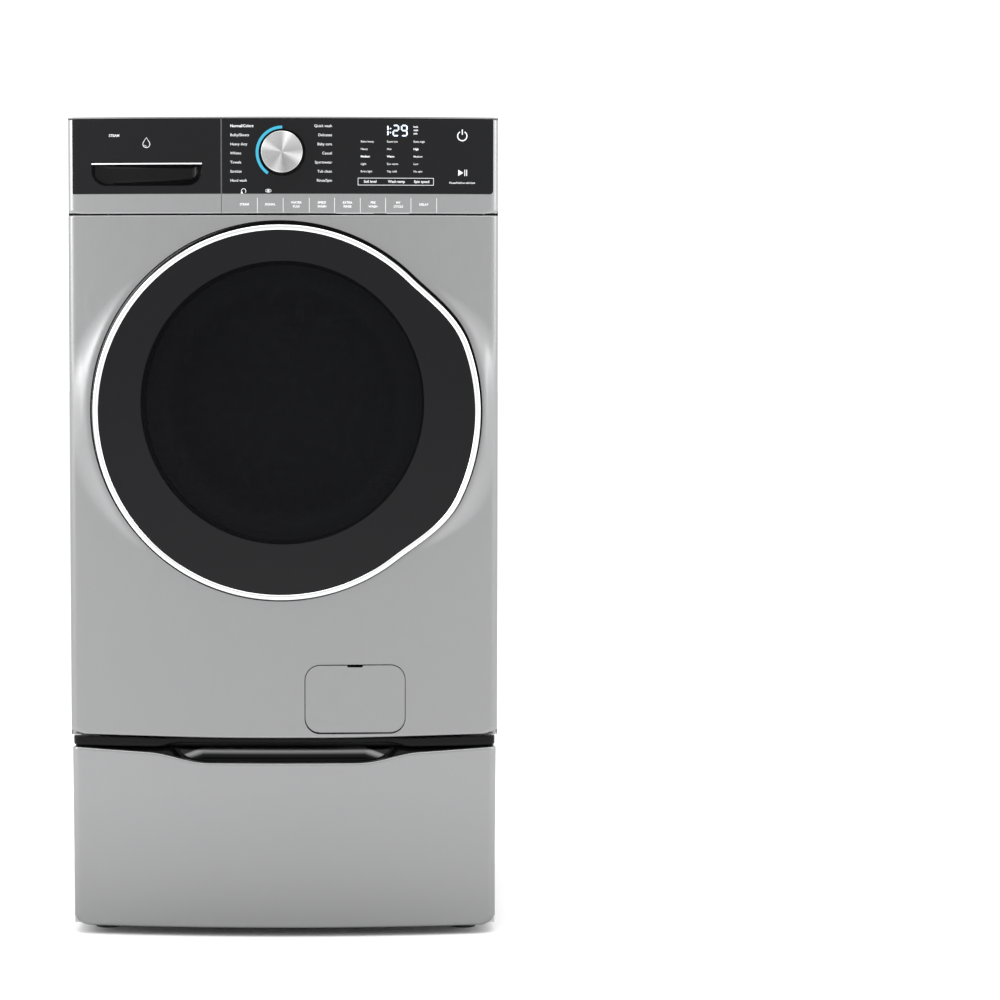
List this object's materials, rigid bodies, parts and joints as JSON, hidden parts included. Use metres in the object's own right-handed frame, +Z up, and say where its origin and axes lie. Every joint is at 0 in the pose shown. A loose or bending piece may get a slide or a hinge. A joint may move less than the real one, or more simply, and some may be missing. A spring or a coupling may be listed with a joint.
{
  "type": "front load washing machine",
  "caption": "Front load washing machine with a round glass door, black console, detergent drawer and a matching pedestal with a storage drawer.",
  "frame": {"origin": "on the floor, at the middle of the footprint", "axes": "+X to the machine's right as seen from the front, +Y towards its back, +Z up; the front with the door faces -Y"},
  "size_m": [0.686, 0.8, 1.31],
  "materials": {
    "side_paint": "satin",
    "zinc_steel": "satin",
    "front_steel": "brushed",
    "silver_plastic": "satin",
    "gloss_black": "gloss",
    "black_plastic": "matte",
    "chrome": "polished",
    "knob_metal": "spun",
    "light": "gloss",
    "board": "matte",
    "grey_plastic": "satin",
    "blue_plastic": "satin",
    "rubber_grey": "matte",
    "rubber_black": "matte",
    "stainless": "polished",
    "cast_alloy": "cast",
    "cast_weight": "cast",
    "motor_steel": "satin",
    "door_glass": "clear"
  },
  "bodies": {
    "cabinet": {"side_panels": "side_paint", "rear_panel": "zinc_steel", "rear_cover": "zinc_steel", "top_panel": "side_paint", "top_rails": "zinc_steel", "base_frame": "zinc_steel", "front_panel": "front_steel", "door_surround": "black_plastic", "hinge_bracket": "zinc_steel", "door_lock": "black_plastic", "door_gasket": "rubber_grey", "console_frame": "silver_plastic", "console_lens": "gloss_black", "light_ring": "light", "control_board": "board", "dispenser_housing": "grey_plastic", "water_ports": "blue_plastic", "internal_hoses": "rubber_grey", "cord_gland": "black_plastic", "drain_pump": "grey_plastic", "levelling_feet": "rubber_black", "rear_screws": "chrome", "damper_cylinders": "motor_steel", "suspension_springs": "zinc_steel", "tub_hoses": "rubber_grey", "pedestal_frame": "side_paint", "pedestal_top_frame": "black_plastic", "outer_slides": "zinc_steel"},
    "tub": {"tub_front": "grey_plastic", "tub_rear": "grey_plastic", "counterweights": "cast_weight", "heater": "stainless", "tub_bearings": "stainless", "motor": "motor_steel", "damper_rods": "stainless", "drive_belt": "rubber_black"},
    "drum": {"drum_shell": "stainless", "drum_front_rim": "stainless", "drum_rear_disc": "stainless", "drum_lifters": "grey_plastic", "drum_spider": "cast_alloy", "drum_pulley": "cast_alloy"},
    "rotor": {"motor_rotor": "motor_steel"},
    "door": {"door_ring": "chrome", "door_cover": "gloss_black", "door_frame": "black_plastic", "door_glass": "door_glass", "hinge_arm": "zinc_steel"},
    "latch": {"door_hook": "stainless"},
    "detergent_drawer": {"detergent_bezel": "silver_plastic", "detergent_plate": "gloss_black", "detergent_tray": "grey_plastic"},
    "knob": {"program_knob": "knob_metal"},
    "flap": {"filter_flap": "front_steel"},
    "filter": {"filter_cap": "blue_plastic"},
    "storage_drawer": {"storage_front": "front_steel", "storage_handle": "gloss_black", "storage_box": "zinc_steel", "inner_slides": "zinc_steel"},
    "slide_members": {"middle_slides": "zinc_steel"}
  },
  "joints": [
    {"name": "door_hinge", "type": "hinge", "parent": "cabinet", "child": "door", "pos_m": [-0.292, -0.3785, 0.842], "axis": [0, 0, -1], "range_deg": [0, 130]},
    {"name": "latch_pivot", "type": "hinge", "parent": "door", "child": "latch", "pos_m": [0.264, -0.366, 0.842], "axis": [0, 0, 1], "range_deg": [0, 8], "stiffness_Nm_per_rad": 0.6},
    {"name": "detergent_slide", "type": "slide", "parent": "cabinet", "child": "detergent_drawer", "axis": [0, -1, 0], "range_m": [0, 0.2]},
    {"name": "knob_turn", "type": "hinge", "parent": "cabinet", "child": "knob", "pos_m": [0, -0.376, 1.2536], "axis": [0, -1, 0], "continuous": true},
    {"name": "flap_hinge", "type": "hinge", "parent": "cabinet", "child": "flap", "pos_m": [0.1146, -0.3744, 0.3312], "axis": [1, 0, 0], "range_deg": [0, 95]},
    {"name": "filter_turn", "type": "hinge", "parent": "cabinet", "child": "filter", "pos_m": [0.1146, -0.353, 0.383], "axis": [0, -1, 0], "range_deg": [0, 90]},
    {"name": "storage_slide", "type": "slide", "parent": "cabinet", "child": "storage_drawer", "axis": [0, -1, 0], "range_m": [0, 0.4]},
    {"name": "slide_member_travel", "type": "slide", "parent": "cabinet", "child": "slide_members", "axis": [0, -1, 0], "range_m": [0, 0.2]},
    {"name": "tub_bounce", "type": "slide", "parent": "cabinet", "child": "tub", "axis": [0, 0, 1], "range_m": [-0.01, 0.01], "stiffness_N_per_m": 20000, "springref_m": 0.02996, "deforming": ["suspension_springs", "tub_hoses", "door_gasket"]},
    {"name": "drum_spin", "type": "hinge", "parent": "tub", "child": "drum", "pos_m": [0, 0, 0.856], "axis": [0, 1, 0], "continuous": true},
    {"name": "motor_spin", "type": "hinge", "parent": "tub", "child": "rotor", "pos_m": [0.12, 0, 0.49], "axis": [0, 1, 0], "continuous": true}
  ],
  "couplings": [
    {"joint": "slide_member_travel", "follows": "storage_slide", "ratio": 0.5},
    {"joint": "motor_spin", "follows": "drum_spin", "ratio": 13.636}
  ]
}
